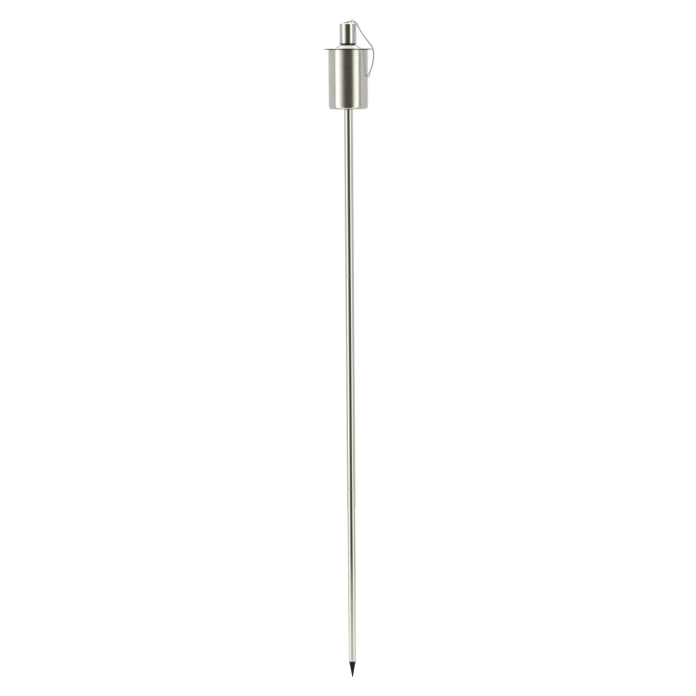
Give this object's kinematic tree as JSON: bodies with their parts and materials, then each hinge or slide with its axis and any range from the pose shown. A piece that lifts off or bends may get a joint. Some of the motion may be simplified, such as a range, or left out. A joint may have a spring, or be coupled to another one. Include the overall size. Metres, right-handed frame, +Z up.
{
  "type": "garden oil torch",
  "caption": "Stainless garden oil torch: sectioned pole on a plastic ground spike, fuel canister with a wide top plate, screwed wick holder and a snuffer cap on a chain.",
  "frame": {"origin": "tip of the ground spike, on the pole's axis", "axes": "+Z up the pole; the chain is on the +X side, turned 21 degrees towards -Y, which is the front"},
  "size_m": [0.1071, 0.102, 1.4763],
  "materials": {
    "black_plastic": "moulded, fine satin grain",
    "pole_steel": "drawn stainless tube, fine lengthwise polish",
    "sleeve_steel": "plain mill finish",
    "can_steel": "stainless, brushed round the can",
    "plate_steel": "stainless, spun and polished",
    "cap_steel": "bright drawn stainless",
    "neck_steel": "turned stainless, threaded and knurled",
    "seal_rubber": "oil-resistant, matt",
    "wick_glass": "braided glass fibre",
    "chain_steel": "nickel-bright wire"
  },
  "bodies": {
    "ground_section": {"ground_spike": "black_plastic", "lower_tube": "pole_steel", "lower_joint_sleeve": "sleeve_steel"},
    "middle_section": {"middle_tube": "pole_steel", "upper_joint_sleeve": "sleeve_steel"},
    "upper_section": {"upper_tube": "pole_steel"},
    "head": {"head_spigot": "sleeve_steel", "canister": "can_steel", "top_plate": "plate_steel", "filler_neck": "neck_steel", "anchor_eye": "chain_steel", "anchor_ring": "chain_steel"},
    "burner": {"wick_holder": "sleeve_steel", "neck_gasket": "seal_rubber"},
    "clamp_ring": {"screw_ring": "neck_steel"},
    "wick_core": {"wick": "wick_glass"},
    "cap_hanger": {"swivel_tab": "chain_steel", "cap_ring": "chain_steel", "chain": "chain_steel"},
    "cap": {"snuffer_cap": "cap_steel", "cap_rivet": "cap_steel"}
  },
  "joints": [
    {"name": "middle_section_pull", "type": "slide", "parent": "ground_section", "child": "middle_section", "axis": [0, 0, 1], "range_m": [0, 0.045]},
    {"name": "upper_section_pull", "type": "slide", "parent": "middle_section", "child": "upper_section", "axis": [0, 0, 1], "range_m": [0, 0.045]},
    {"name": "head_pull", "type": "slide", "parent": "upper_section", "child": "head", "axis": [0, 0, 1], "range_m": [0, 0.038]},
    {"name": "wick_holder_rise", "type": "slide", "parent": "head", "child": "burner", "axis": [0, 0, 1], "range_m": [0, 0.004]},
    {"name": "screw_ring_turn", "type": "hinge", "parent": "burner", "child": "clamp_ring", "pos_m": [0, 0, 1.427], "axis": [0, 0, 1], "range_deg": [0, 720]},
    {"name": "wick_raise", "type": "slide", "parent": "burner", "child": "wick_core", "axis": [0, 0, 1], "range_m": [-0.006, 0.012]},
    {"name": "cap_lift", "type": "slide", "parent": "head", "child": "cap_hanger", "axis": [0, 0, 1], "range_m": [0, 0.017], "deforming": ["chain"]},
    {"name": "cap_turn", "type": "hinge", "parent": "cap_hanger", "child": "cap", "pos_m": [0, 0, 1.4681], "axis": [0, 0, 1], "continuous": true}
  ],
  "couplings": [
    {"joint": "wick_holder_rise", "follows": "screw_ring_turn", "m_per_rad": 0.00031831}
  ]
}
